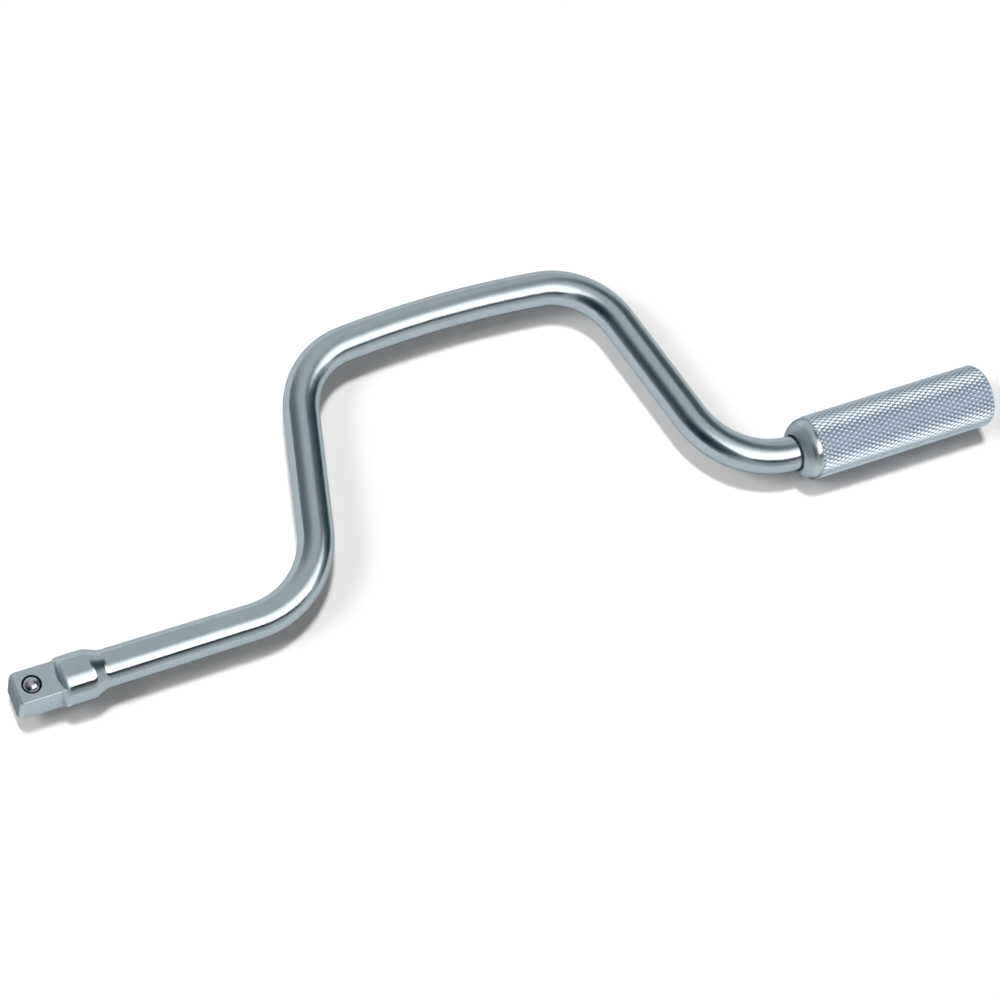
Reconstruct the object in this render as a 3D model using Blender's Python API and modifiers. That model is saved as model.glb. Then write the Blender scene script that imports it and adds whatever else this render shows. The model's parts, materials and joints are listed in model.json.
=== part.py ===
"""Speeder handle: a cranked bar with a square drive at one end and a free-turning grip at the other.

X is the turning axis. It starts at the tip of the drive square and runs to the closed end of the
grip. The bow rises towards +Y and lies in the XY plane, so the tool lies flat with +Z up.
"""
from math import asin, cos, floor, pi, radians, sin, sqrt, tan

import bmesh
import bpy
from mathutils import Vector

MM = 0.001

# Clearances
SEAT_GAP = 0.3 * MM       # between a piece and what it is seated on or pressed into
RUN_GAP = 0.3 * MM        # between the turning grip and the bar, round it and at its ends
LIP_GAP = 0.2 * MM        # between the ball and the staked lip that keeps it in

# Drive square
SQUARE = 12.7 * MM        # across the flats, half an inch
SQUARE_LENGTH = 15.6 * MM  # from the tip to the middle of the head's cone on a flat
SQUARE_EDGE = 0.55 * MM   # rounding of the square's long edges
TIP_EDGE = 2.0 * MM       # rounding of the edges round its tip
SQUARE_ROLL = radians(-8)  # the flats are turned a little from the bow's plane

# Head and neck behind the square
HEAD_CONE = radians(60)   # slope of the head's front, where it runs out onto the flats
HEAD_STEP = 0.3 * MM      # how far the head stands outside the square's corners
HEAD_LENGTH = 12.3 * MM   # from the start of the cone to the start of the neck
HEAD_EDGE = 2.4 * MM      # rounding in front of the head
NECK_LENGTH = 5.0 * MM
NECK_ROUND = 4.0 * MM     # rounding at both ends of the neck
CONE_SINK = 0.6 * MM      # how deep the bar's front end is buried in the square

# Cranked bar
ROD_D = 13.5 * MM
SHANK_D = 14.05 * MM      # behind the neck, from where the shank tapers to the bar
SHANK_LENGTH = 89.7 * MM  # from the tip of the square to the first bend
FOOT_BEND_R = 34.5 * MM   # the two bends beside the turning axis
CROWN_BEND_R = 29.0 * MM  # the two bends at the top of the bow
LEG_ANGLE = radians(75.4)
LEG_LENGTH = 45.3 * MM    # straight stretch of each leg
TOP_LENGTH = 80.6 * MM    # along the top run
TOP_ARCH = radians(11)    # how far the top run turns over its length

# Detent in the square
BALL_D = 7.1 * MM
BALL_PROUD = 1.7 * MM     # how far the ball stands out of the flat
BALL_FROM_TIP = 6.6 * MM
LIP_DEPTH = 0.2 * MM      # thickness of the staked lip
HOLE_FLOOR = 2.3 * MM     # steel left under the blind hole
STAKE_STEP = 1.0 * MM     # from the hole's mouth to the middle of the staked ring
STAKE_WIDTH = 0.5 * MM    # across the staked ring's groove
SPRING_WIRE = 0.6 * MM
SPRING_PITCH = 1.15 * MM

# Grip
NOSE_SETBACK = 0.4 * MM   # from the end of the last bend to the nose of the sleeve
GRIP_LENGTH = 82.9 * MM
NOSE_LENGTH = 8.7 * MM    # rounded nose in front of the full diameter
NOSE_CURVE = 1.65         # exponent of the nose's rounded outline, 2 is an ellipse
NOSE_GAP = 0.75 * MM      # between the bar and the nose's opening
NOSE_RIM = 0.95 * MM      # flat rim round the nose's opening
NOSE_LIP = 2.0 * MM       # wall in front of the front bush
SLEEVE_WALL = 3.2 * MM
END_ROUND = 1.2 * MM      # rounding at the closed end
BUSH_WALL = 1.75 * MM
FRONT_BUSH_LENGTH = 14.0 * MM
REAR_BUSH_LENGTH = 16.0 * MM
BUSH_EDGE = 0.4 * MM
PLUG_LENGTH = 12.0 * MM
PLUG_RECESS = 0.3 * MM    # the plug's face lies this far inside the sleeve's end
PLUG_EDGE = 0.6 * MM
END_GAP = 1.5 * MM        # between the bar's end and the plug

# Journal that the grip turns on, with its ring and washer
JOURNAL_D = 11.0 * MM
SHOULDER_RUN = 0.15 * MM  # length of a turned step
GROOVE_DEPTH = 1.0 * MM
RING_THICKNESS = 1.1 * MM
RING_WIDTH = 1.9 * MM     # from the ring's inside to its outside
RING_LUG = 1.2 * MM       # how far the lugs stand out of the ring
RING_LUG_HOLE = 1.5 * MM
RING_OPENING = radians(40)
RING_LAND = 2.6 * MM      # journal behind the ring
WASHER_THICKNESS = 1.5 * MM
WASHER_EDGE = 0.2 * MM

# Fineness of the solids
TURN_STEPS = 48
INNER_STEPS = 36          # for the turned pieces inside the grip
HOLE_STEPS = 32
BALL_STEPS = 24
ROD_STEPS = 24            # sides of the bar
BEND_STEPS = 9
ARCH_STEPS = 6
ROUND_STEPS = 3
EDGE_STEPS = 1            # a plain chamfer for the pieces inside
NOSE_STEPS = 10
COIL_STEPS = 10
LUG_STEPS = 12
RING_STEPS = 44
MERGE = 0.001 * MM
SHARP = radians(35)

# Sizes that follow from the ones above
rod_r = ROD_D / 2
journal_r = JOURNAL_D / 2
ball_r = BALL_D / 2
corner_r = (SQUARE / 2 - SQUARE_EDGE) * sqrt(2) + SQUARE_EDGE
head_r = corner_r + HEAD_STEP
bush_r = rod_r + RUN_GAP + BUSH_WALL
bore_r = bush_r + SEAT_GAP
grip_r = bore_r + SLEEVE_WALL
nose_hole_r = rod_r + NOSE_GAP
nose_rim_r = nose_hole_r + NOSE_RIM
groove_r = journal_r - GROOVE_DEPTH

# Places along the grip, measured from its nose
plug_face = GRIP_LENGTH - PLUG_RECESS
plug_back = plug_face - PLUG_LENGTH
journal_end = plug_back - END_GAP
groove_end = journal_end - RING_LAND
ring_front = groove_end - SEAT_GAP - RING_THICKNESS
groove_start = ring_front - SEAT_GAP
washer_front = groove_start - WASHER_THICKNESS
rear_bush_front = washer_front - RUN_GAP - REAR_BUSH_LENGTH
shoulder = rear_bush_front - RUN_GAP - SHOULDER_RUN
front_bush_front = NOSE_LIP + SEAT_GAP

# The detent, measured from the turning axis along the flat's normal
flat_height = SQUARE / 2
ball_height = flat_height + BALL_PROUD - ball_r
hole_r = ball_r + SEAT_GAP
hole_floor = HOLE_FLOOR - SQUARE / 2
lip_height = flat_height - LIP_DEPTH
mouth_r = sqrt((ball_r + LIP_GAP) ** 2 - (lip_height - ball_height) ** 2)


def clear_scene():
    for item in list(bpy.data.objects):
        bpy.data.objects.remove(item, do_unlink=True)


def new_collection(name):
    collection = bpy.data.collections.new(name)
    bpy.context.scene.collection.children.link(collection)
    return collection


def finish(name, colour, roughness, metallic=1.0):
    material = bpy.data.materials.new(name)
    material.use_nodes = True
    shader = material.node_tree.nodes["Principled BSDF"]
    shader.inputs["Base Color"].default_value = (*colour, 1)
    shader.inputs["Roughness"].default_value = roughness
    shader.inputs["Metallic"].default_value = metallic
    material.diffuse_color = (*colour, 1)
    return material


def axis_empty(name, collection, location, rotation):
    empty = bpy.data.objects.new(name, None)
    empty.empty_display_size = ROD_D
    empty.location = location
    empty.rotation_euler = rotation
    collection.objects.link(empty)
    return empty


def place(name, data, collection, parent=None, material=None):
    item = bpy.data.objects.new(name, data)
    collection.objects.link(item)
    item.parent = parent
    if material:
        data.materials.append(material)
    return item


def as_guide(item):
    item.hide_render = True
    item.display_type = 'WIRE'
    return item


def settle(item):
    """Keep the modifiers' result as the piece's own mesh, with smooth sides and sharp edges."""
    bpy.context.view_layer.update()
    graph = bpy.context.evaluated_depsgraph_get()
    mesh = bpy.data.meshes.new_from_object(item.evaluated_get(graph))
    item.modifiers.clear()
    item.data = mesh
    mesh.shade_smooth()
    mesh.set_sharp_from_angle(angle=SHARP)
    return item


def rounded(corners, closed=False, steps=ROUND_STEPS):
    """Points of a profile given as corners of (along, radius, rounding)."""
    points = []
    for i, (along, radius, rounding) in enumerate(corners):
        here = Vector((along, radius))
        inner = closed or 0 < i < len(corners) - 1
        if not rounding or not inner:
            points.append(here)
            continue
        back = Vector(corners[i - 1][:2]) - here
        ahead = Vector(corners[(i + 1) % len(corners)][:2]) - here
        reach = rounding / tan(back.angle(ahead) / 2)
        reach = min(reach, back.length / 2, ahead.length / 2)
        first = here + back.normalized() * reach
        last = here + ahead.normalized() * reach
        for step in range(steps + 1):
            t = step / steps
            points.append(first * (1 - t) ** 2 + here * (2 * t * (1 - t)) + last * t ** 2)
    return points


def turned(name, profile, collection, parent, material=None, closed=True, steps=TURN_STEPS):
    """Turn a profile of (along, radius) points, listed by falling height outside, about local Z."""
    mesh = bpy.data.meshes.new(name)
    count = len(profile)
    edges = [(i, (i + 1) % count) for i in range(count if closed else count - 1)]
    mesh.from_pydata([(radius, 0, along) for along, radius in profile], edges, [])
    item = place(name, mesh, collection, parent, material)
    turn = item.modifiers.new("Turn", 'SCREW')
    turn.axis = 'Z'
    turn.angle = 2 * pi
    turn.steps = turn.render_steps = steps
    turn.use_merge_vertices = True
    turn.merge_threshold = MERGE
    weld = item.modifiers.new("Weld", 'WELD')
    weld.merge_threshold = MERGE
    return item


def ring_profile(start, end, inner_r, outer_r, edge):
    """A plain bush or washer with chamfered edges."""
    corners = [(end, inner_r, edge), (end, outer_r, edge), (start, outer_r, edge), (start, inner_r, edge)]
    return rounded(corners, closed=True, steps=EDGE_STEPS)


def drive_end():
    """Stations of (along X, radius) from the bar's front end, inside the square, to the shank."""
    slope = tan(HEAD_CONE)
    neck_start = SQUARE_LENGTH + HEAD_LENGTH
    corners = [
        (SQUARE_LENGTH - CONE_SINK / slope, SQUARE / 2 - CONE_SINK, 0),
        (SQUARE_LENGTH + (head_r - SQUARE / 2) / slope, head_r, HEAD_EDGE),
        (neck_start, head_r, NECK_ROUND),
        (neck_start + NECK_LENGTH, SHANK_D / 2, NECK_ROUND),
        (SHANK_LENGTH, rod_r, 0),
    ]
    return rounded(corners)


def bow_stretches():
    """The bow as stretches of (length, turn, steps), from the first bend to the last."""
    half_arch = TOP_ARCH / 2
    crown_turn = LEG_ANGLE - half_arch
    foot = (FOOT_BEND_R * LEG_ANGLE, LEG_ANGLE, BEND_STEPS)
    leg = (LEG_LENGTH, 0, 1)
    crown = (CROWN_BEND_R * crown_turn, -crown_turn, BEND_STEPS)
    top = (TOP_LENGTH, -TOP_ARCH, ARCH_STEPS)
    return [foot, leg, crown, top, crown, leg, foot]


def bow_points():
    """Centreline of the bow, walked along its stretches in the XY plane."""
    here = Vector((SHANK_LENGTH, 0, 0))
    heading = 0
    points = []
    for length, turn, steps in bow_stretches():
        turn_step = turn / steps
        chord = length / steps
        if turn_step:
            chord *= sin(turn_step / 2) / (turn_step / 2)
        for _ in range(steps):
            middle = heading + turn_step / 2
            here = here + chord * Vector((cos(middle), sin(middle), 0))
            heading += turn_step
            points.append(here)
    return points


def journal_stations():
    """Stations of (along the grip, radius) from the shoulder to the bar's far end."""
    return [
        (shoulder, rod_r),
        (shoulder + SHOULDER_RUN, journal_r),
        (groove_start - SHOULDER_RUN, journal_r),
        (groove_start, groove_r),
        (groove_end, groove_r),
        (groove_end + SHOULDER_RUN, journal_r),
        (journal_end - GROOVE_DEPTH, journal_r),
        (journal_end, groove_r),
    ]


def crank_stations(nose):
    """Every station of the bar as (place, radius)."""
    front = [(Vector((along, 0, 0)), radius) for along, radius in drive_end()]
    bow = [(point, rod_r) for point in bow_points()]
    back = [(Vector((nose + along, 0, 0)), radius) for along, radius in journal_stations()]
    return front + bow + back


def swept_bar(name, stations, collection, material):
    """A round bar through the stations, as a closed mesh."""
    curve = bpy.data.curves.new(name, 'CURVE')
    curve.dimensions = '3D'
    curve.bevel_depth = rod_r
    curve.bevel_resolution = ROD_STEPS // 2 - 2
    curve.use_fill_caps = True
    spline = curve.splines.new('POLY')
    spline.points.add(len(stations) - 1)
    for point, (spot, radius) in zip(spline.points, stations):
        point.co = (*spot, 1)
        point.radius = radius / rod_r
    return closed_mesh(place(name, curve, collection), material)


def closed_mesh(line, material):
    """Make a curve object a mesh object of the same name and place, with its caps welded."""
    bpy.context.view_layer.update()
    graph = bpy.context.evaluated_depsgraph_get()
    mesh = bpy.data.meshes.new_from_object(line.evaluated_get(graph))
    cage = bmesh.new()
    cage.from_mesh(mesh)
    bmesh.ops.remove_doubles(cage, verts=cage.verts, dist=MERGE)
    bmesh.ops.recalc_face_normals(cage, faces=cage.faces)
    cage.to_mesh(mesh)
    cage.free()
    name, collection, parent = line.name, line.users_collection[0], line.parent
    spot, turn = line.location.copy(), line.rotation_euler.copy()
    bpy.data.objects.remove(line, do_unlink=True)
    item = place(name, mesh, collection, parent, material)
    item.location = spot
    item.rotation_euler = turn
    return item


def boolean(item, tool, operation):
    cut = item.modifiers.new(tool.name, 'BOOLEAN')
    cut.operation = operation
    cut.object = tool


def square_guide(collection):
    """The drive square, long enough to end inside the head, rounded most round its tip."""
    length = SQUARE_LENGTH + HEAD_LENGTH / 2
    widest = max(TIP_EDGE, SQUARE_EDGE)
    mesh = bpy.data.meshes.new("drive_square")
    cage = bmesh.new()
    bmesh.ops.create_cube(cage, size=1)
    bmesh.ops.scale(cage, vec=(length, SQUARE, SQUARE), verts=cage.verts)
    bmesh.ops.translate(cage, vec=(length / 2, 0, 0), verts=cage.verts)
    share = cage.edges.layers.float.new("bevel_weight_edge")
    for edge in cage.edges:
        at_tip = all(vert.co.x < length / 2 for vert in edge.verts)
        edge[share] = (TIP_EDGE if at_tip else SQUARE_EDGE) / widest
    cage.to_mesh(mesh)
    cage.free()
    item = as_guide(place("drive_square", mesh, collection))
    item.rotation_euler = (SQUARE_ROLL, 0, 0)
    bevel = item.modifiers.new("Edges", 'BEVEL')
    bevel.limit_method = 'WEIGHT'
    bevel.width = widest
    bevel.segments = ROUND_STEPS
    return item


def hole_guide(collection, parent):
    """The ball's blind hole, with a narrower lip at its mouth."""
    outside = flat_height + BALL_PROUD
    lip_end = lip_height - (hole_r - mouth_r)
    profile = [
        (outside, 0),
        (outside, mouth_r),
        (lip_height, mouth_r),
        (lip_end, hole_r),
        (hole_floor, hole_r),
        (hole_floor, 0),
    ]
    return as_guide(turned("detent_hole", profile, collection, parent, closed=False, steps=HOLE_STEPS))


def stake_guide(collection, parent):
    """The ring-shaped groove that the staking punch leaves round the hole."""
    ring_r = mouth_r + STAKE_STEP
    half = STAKE_WIDTH / 2
    profile = [
        (flat_height + half, ring_r),
        (flat_height, ring_r + half),
        (flat_height - half, ring_r),
        (flat_height, ring_r - half),
    ]
    return as_guide(turned("stake_ring", profile, collection, parent, steps=HOLE_STEPS))


def make_crank(parts, guides, detent, nose, material):
    bar = swept_bar("crank_rod", crank_stations(nose), parts, material)
    boolean(bar, square_guide(guides), 'UNION')
    boolean(bar, hole_guide(guides, detent), 'DIFFERENCE')
    boolean(bar, stake_guide(guides, detent), 'DIFFERENCE')
    return settle(bar)


def make_ball(parts, detent, material):
    mesh = bpy.data.meshes.new("detent_ball")
    cage = bmesh.new()
    bmesh.ops.create_uvsphere(cage, u_segments=BALL_STEPS, v_segments=BALL_STEPS // 2, radius=ball_r)
    cage.to_mesh(mesh)
    cage.free()
    item = place("detent_ball", mesh, parts, detent, material)
    item.location = (0, 0, ball_height)
    mesh.shade_smooth()
    return item


def coil_points():
    """The detent spring's wire, from the hole's floor up to the ball."""
    coil_r = hole_r - SEAT_GAP - SPRING_WIRE / 2
    low = hole_floor + SEAT_GAP + SPRING_WIRE / 2
    ball_floor = ball_height - sqrt((ball_r + SEAT_GAP + SPRING_WIRE / 2) ** 2 - coil_r ** 2)
    rise = ball_floor - low
    turns = max(1, floor(2 * rise / SPRING_PITCH) / 2)
    count = round(turns * COIL_STEPS)
    angles = [2 * pi * turns * i / count for i in range(count + 1)]
    return [Vector((coil_r * cos(a), coil_r * sin(a), low + rise * a / angles[-1])) for a in angles]


def least_gap(points, skip):
    """Smallest distance between stretches of a wire that are at least skip points apart."""
    pairs = ((p, q) for i, p in enumerate(points) for q in points[i + skip:])
    return min((p - q).length for p, q in pairs)


def make_spring(parts, detent, material):
    points = coil_points()
    gap = least_gap(points, COIL_STEPS // 2) - SPRING_WIRE
    print("detent_spring: least gap to itself", round(gap / MM, 2), "mm")
    curve = bpy.data.curves.new("detent_spring", 'CURVE')
    curve.dimensions = '3D'
    curve.bevel_depth = SPRING_WIRE / 2
    curve.bevel_resolution = 1
    curve.use_fill_caps = True
    spline = curve.splines.new('POLY')
    spline.points.add(len(points) - 1)
    for point, spot in zip(spline.points, points):
        point.co = (*spot, 1)
    item = closed_mesh(place("detent_spring", curve, parts, detent), material)
    return settle(item)


def nose_outline():
    """The sleeve's rounded nose, from its full diameter forwards to the rim of the opening."""
    power = 2 / NOSE_CURVE
    points = []
    for step in range(NOSE_STEPS + 1):
        angle = pi / 2 * (1 - step / NOSE_STEPS)
        along = NOSE_LENGTH * (1 - cos(angle) ** power)
        radius = nose_rim_r + (grip_r - nose_rim_r) * sin(angle) ** power
        points.append(Vector((along, radius)))
    return points


def make_sleeve(parts, grip, material):
    seat = NOSE_LIP
    end = rounded([(GRIP_LENGTH, bore_r, 0), (GRIP_LENGTH, grip_r, END_ROUND), (NOSE_LENGTH, grip_r, 0)])
    inside = [(0, nose_hole_r), (seat, nose_hole_r), (seat, bore_r)]
    profile = end[:-1] + nose_outline() + [Vector(point) for point in inside]
    return settle(turned("grip_sleeve", profile, parts, grip, material))


def make_bush(name, front, length, inner_r, parts, grip, material):
    profile = ring_profile(front, front + length, inner_r, bush_r, BUSH_EDGE)
    return settle(turned(name, profile, parts, grip, material, steps=INNER_STEPS))


def make_plug(parts, grip, material):
    plug_r = bore_r - SEAT_GAP
    corners = [
        (plug_face, 0, 0),
        (plug_face, plug_r, PLUG_EDGE),
        (plug_back, plug_r, PLUG_EDGE),
        (plug_back, 0, 0),
    ]
    return settle(turned("end_plug", rounded(corners), parts, grip, material, closed=False))


def make_washer(parts, journal, material):
    profile = ring_profile(washer_front, washer_front + WASHER_THICKNESS, journal_r + SEAT_GAP,
                           bore_r - RUN_GAP - SEAT_GAP, WASHER_EDGE)
    return settle(turned("thrust_washer", profile, parts, journal, material, steps=INNER_STEPS))


def ring_outline():
    """The open ring's outline: out round the outside and back round the inside."""
    inner_r = groove_r + SEAT_GAP
    outer_r = inner_r + RING_WIDTH
    half = RING_OPENING / 2
    lug_span = asin(min(1, (RING_WIDTH + RING_LUG) / outer_r))
    outside = []
    inside = []
    for step in range(RING_STEPS + 1):
        angle = half + (2 * pi - 2 * half) * step / RING_STEPS
        from_end = min(angle, 2 * pi - angle) - half
        swell = RING_LUG * max(0, cos(pi / 2 * min(1, from_end / lug_span))) ** 0.5
        outside.append(Vector((cos(angle), sin(angle))) * (outer_r + swell))
        inside.append(Vector((cos(angle), sin(angle))) * inner_r)
    return outside + inside[::-1]


def lug_hole(side):
    """One plier hole of the ring."""
    inner_r = groove_r + SEAT_GAP
    middle_r = inner_r + (RING_WIDTH + RING_LUG) / 2
    angle = side * (RING_OPENING / 2 + asin(RING_LUG_HOLE / middle_r))
    centre = Vector((cos(angle), sin(angle))) * middle_r
    turns = [2 * pi * step / LUG_STEPS for step in range(LUG_STEPS)]
    return [centre + Vector((cos(t), sin(t))) * RING_LUG_HOLE / 2 for t in turns]


def make_ring(parts, journal, material):
    curve = bpy.data.curves.new("retaining_ring", 'CURVE')
    curve.dimensions = '2D'
    curve.fill_mode = 'BOTH'
    curve.extrude = RING_THICKNESS / 2
    for outline in (ring_outline(), lug_hole(1), lug_hole(-1)):
        spline = curve.splines.new('POLY')
        spline.use_cyclic_u = True
        spline.points.add(len(outline) - 1)
        for point, spot in zip(spline.points, outline):
            point.co = (*spot, 0, 1)
    line = place("retaining_ring", curve, parts, journal)
    line.location = (0, 0, ring_front + RING_THICKNESS / 2)
    return settle(closed_mesh(line, material))


def main():
    clear_scene()
    parts = new_collection("speeder_handle")
    guides = new_collection("speeder_handle_cutters")
    plate = finish("satin_chrome", (0.56, 0.61, 0.64), 0.24)
    knurled_plate = finish("knurled_chrome", (0.52, 0.57, 0.60), 0.30)
    ball_steel = finish("polished_ball", (0.62, 0.62, 0.63), 0.10)
    spring_steel = finish("spring_steel", (0.33, 0.33, 0.35), 0.40)
    bronze = finish("oiled_bronze", (0.46, 0.32, 0.17), 0.45)
    black_steel = finish("blackened_steel", (0.06, 0.06, 0.07), 0.45)
    washer_steel = finish("hardened_steel", (0.45, 0.45, 0.46), 0.35)
    plug_plate = finish("plug_chrome", (0.55, 0.59, 0.62), 0.28)

    nose = bow_points()[-1].x + NOSE_SETBACK
    along_x = (0, pi / 2, 0)
    detent = axis_empty("detent_axis", parts, (BALL_FROM_TIP, 0, 0), (SQUARE_ROLL, 0, 0))
    grip = axis_empty("grip_axis", parts, (nose, 0, 0), along_x)
    journal = axis_empty("journal_axis", parts, (nose, 0, 0), along_x)

    make_crank(parts, guides, detent, nose, plate)
    make_ball(parts, detent, ball_steel)
    make_spring(parts, detent, spring_steel)
    make_sleeve(parts, grip, knurled_plate)
    make_bush("front_bush", front_bush_front, FRONT_BUSH_LENGTH, rod_r + RUN_GAP, parts, grip, bronze)
    make_bush("rear_bush", rear_bush_front, REAR_BUSH_LENGTH, journal_r + RUN_GAP, parts, grip, bronze)
    make_plug(parts, grip, plug_plate)
    make_washer(parts, journal, washer_steel)
    make_ring(parts, journal, black_steel)
    print("overall length", round((nose + GRIP_LENGTH) / MM, 1), "mm")
    print("grip diameter", round(2 * grip_r / MM, 2), "mm")


main()
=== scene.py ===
# %% [markdown]
# # A speeder handle, dressed for its picture
# A speeder handle is a brace for turning sockets fast. One bar of plated steel is bent into a bow,
# with a half-inch square at one end and a knurled grip at the other that turns freely on the bar.
# The construction is already there as a frame of plain solids. This lesson makes a fine mesh and a
# finish for each piece, in the same place, and then lights the handle as a small studio would.

# %% Load the frame and measure it
import json
from math import cos, floor, pi, radians, sin, sqrt, tan

import bmesh
import bpy
from mathutils import Matrix, Vector

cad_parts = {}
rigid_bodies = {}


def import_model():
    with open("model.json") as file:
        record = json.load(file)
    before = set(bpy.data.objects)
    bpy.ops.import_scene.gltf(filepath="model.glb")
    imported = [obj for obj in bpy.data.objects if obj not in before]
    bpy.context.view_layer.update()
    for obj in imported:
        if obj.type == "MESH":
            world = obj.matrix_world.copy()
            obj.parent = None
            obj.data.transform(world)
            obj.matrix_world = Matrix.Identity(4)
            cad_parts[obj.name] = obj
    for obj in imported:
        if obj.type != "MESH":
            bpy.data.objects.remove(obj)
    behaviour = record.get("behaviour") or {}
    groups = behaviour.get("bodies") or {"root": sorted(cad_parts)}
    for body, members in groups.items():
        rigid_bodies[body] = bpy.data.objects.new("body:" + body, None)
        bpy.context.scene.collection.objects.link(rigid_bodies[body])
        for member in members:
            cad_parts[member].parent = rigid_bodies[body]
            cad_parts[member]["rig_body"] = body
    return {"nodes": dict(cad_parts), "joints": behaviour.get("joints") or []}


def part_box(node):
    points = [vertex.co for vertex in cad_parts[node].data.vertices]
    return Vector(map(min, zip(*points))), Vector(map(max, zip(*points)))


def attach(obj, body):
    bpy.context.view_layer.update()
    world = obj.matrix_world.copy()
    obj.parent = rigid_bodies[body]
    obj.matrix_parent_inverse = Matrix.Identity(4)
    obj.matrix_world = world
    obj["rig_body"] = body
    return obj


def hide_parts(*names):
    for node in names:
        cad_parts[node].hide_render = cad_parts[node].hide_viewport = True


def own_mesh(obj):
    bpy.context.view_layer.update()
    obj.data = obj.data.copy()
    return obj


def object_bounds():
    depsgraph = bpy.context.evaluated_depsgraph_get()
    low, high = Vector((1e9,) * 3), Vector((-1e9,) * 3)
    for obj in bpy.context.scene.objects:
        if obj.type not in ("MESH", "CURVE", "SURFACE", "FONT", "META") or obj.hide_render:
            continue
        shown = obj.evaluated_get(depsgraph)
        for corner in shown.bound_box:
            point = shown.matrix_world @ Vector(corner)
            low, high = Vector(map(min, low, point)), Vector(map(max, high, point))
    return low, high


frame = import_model()
cad_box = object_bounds()
MM = 0.001
MERGE = 0.001 * MM

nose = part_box("grip_sleeve")[0].x
grip_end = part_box("grip_sleeve")[1].x
grip_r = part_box("grip_sleeve")[1].z
bar_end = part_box("crank_rod")[1].x
floor_height = cad_box[0].z
ball_press = next(joint for joint in frame["joints"] if joint["name"] == "ball_press")
flat_normal = -Vector(ball_press["axis"])
print("handle", [round(side / MM, 1) for side in cad_box[1] - cad_box[0]], "mm")

# %% [markdown]
# ## The camera
# The picture was taken with a long lens from the drive end, so the bar hardly tapers with distance.
# A camera is easiest to adjust as a look-at point, a distance and three angles: the azimuth goes
# round the handle, the elevation is how steeply it looks down, and the roll tips the picture.

# %% Set the camera
LOOK_AT = Vector((193.203, 16.268, 0)) * MM
DISTANCE = 1076.886 * MM
AZIMUTH = radians(-53.2442)
ELEVATION = radians(64.9391)
ROLL = radians(33.3779)
LENS = 105.4206
NEAREST = 10 * MM

looking = Vector((-sin(AZIMUTH) * cos(ELEVATION), cos(AZIMUTH) * cos(ELEVATION), -sin(ELEVATION)))
level = Vector((cos(AZIMUTH), sin(AZIMUTH), 0))
right = cos(ROLL) * level + sin(ROLL) * level.cross(looking)
camera = bpy.data.objects.new("camera", bpy.data.cameras.new("camera"))
camera.data.lens = LENS
camera.data.clip_start = NEAREST
camera_axes = Matrix((right, right.cross(looking), -looking)).transposed()
camera.matrix_world = Matrix.Translation(LOOK_AT - DISTANCE * looking) @ camera_axes.to_4x4()
bpy.context.scene.collection.objects.link(camera)
bpy.context.scene.camera = camera
print("camera height", round(camera.location.z, 3), "m")

# %% [markdown]
# ## Node helpers
# Materials and Geometry Nodes are both trees of nodes. A few small helpers keep the cells below
# short: one feeds a socket with a link or a plain value, one adds a node, and the rest do sums.

# %% Helpers for node trees
def feed(tree, socket, value):
    """Link a socket to another socket, or give it a plain value."""
    if isinstance(value, bpy.types.NodeSocket):
        tree.links.new(value, socket)
    else:
        socket.default_value = value


def add(tree, kind, feeds=None, **options):
    """Add a node, set its options and feed its inputs by name."""
    node = tree.nodes.new(kind)
    for option, value in options.items():
        setattr(node, option, value)
    for name, value in (feeds or {}).items():
        feed(tree, node.inputs[name], value)
    return node


def calc(tree, operation, *values):
    """A Math node's result."""
    node = add(tree, 'ShaderNodeMath', operation=operation)
    for socket, value in zip(node.inputs, values):
        feed(tree, socket, value)
    return node.outputs[0]


def vector(tree, operation, *values):
    """A Vector Math node's result, which is a number for a length or a dot product."""
    node = add(tree, 'ShaderNodeVectorMath', operation=operation)
    for socket, value in zip(node.inputs, values):
        feed(tree, socket, value)
    is_number = operation in ('LENGTH', 'DOT_PRODUCT')
    return node.outputs["Value" if is_number else "Vector"]


def eased(tree, value, start, end, low=0.0, high=1.0):
    """A smooth step from low at start to high at end."""
    feeds = {"Value": value, "From Min": start, "From Max": end, "To Min": low, "To Max": high}
    return add(tree, 'ShaderNodeMapRange', feeds, interpolation_type='SMOOTHSTEP').outputs["Result"]


# %% Helpers for Geometry Nodes
def geometry_tree(name, inputs):
    """A new tree that takes a geometry and the named inputs, and gives a geometry."""
    tree = bpy.data.node_groups.new(name, 'GeometryNodeTree')
    tree.interface.new_socket("Geometry", in_out='INPUT', socket_type='NodeSocketGeometry')
    for label, kind in inputs.items():
        tree.interface.new_socket(label, in_out='INPUT', socket_type=kind)
    tree.interface.new_socket("Geometry", in_out='OUTPUT', socket_type='NodeSocketGeometry')
    entry = tree.nodes.new('NodeGroupInput')
    way_out = tree.nodes.new('NodeGroupOutput')
    return tree, entry.outputs, way_out.inputs["Geometry"]


def keep_mesh(item):
    """Keep what the modifiers make as the object's own plain mesh."""
    bpy.context.view_layer.update()
    graph = bpy.context.evaluated_depsgraph_get()
    mesh = bpy.data.meshes.new_from_object(item.evaluated_get(graph))
    item.modifiers.clear()
    item.data = mesh
    return item


def run_tree(item, tree, values):
    """Run a tree on an object with its inputs set by identifier, and keep the result."""
    modifier = item.modifiers.new(tree.name, 'NODES')
    modifier.node_group = tree
    for socket in tree.interface.items_tree:
        if socket.in_out == 'INPUT' and socket.name in values:
            modifier[socket.identifier] = values[socket.name]
    return keep_mesh(item)


# %% [markdown]
# ## Finishes
# Every outside piece is steel with a bright bluish plating, so one function makes all the metals.
# Real plating is never one number. A slow noise shifts its colour and its roughness by a little,
# and a finer noise dents it by a few thousandths of a millimetre, which is enough to make the
# edges of a reflection waver and go grainy. All of it reads Object coordinates, which are metres on
# the handle, so a pattern's size is written in millimetres.

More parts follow.
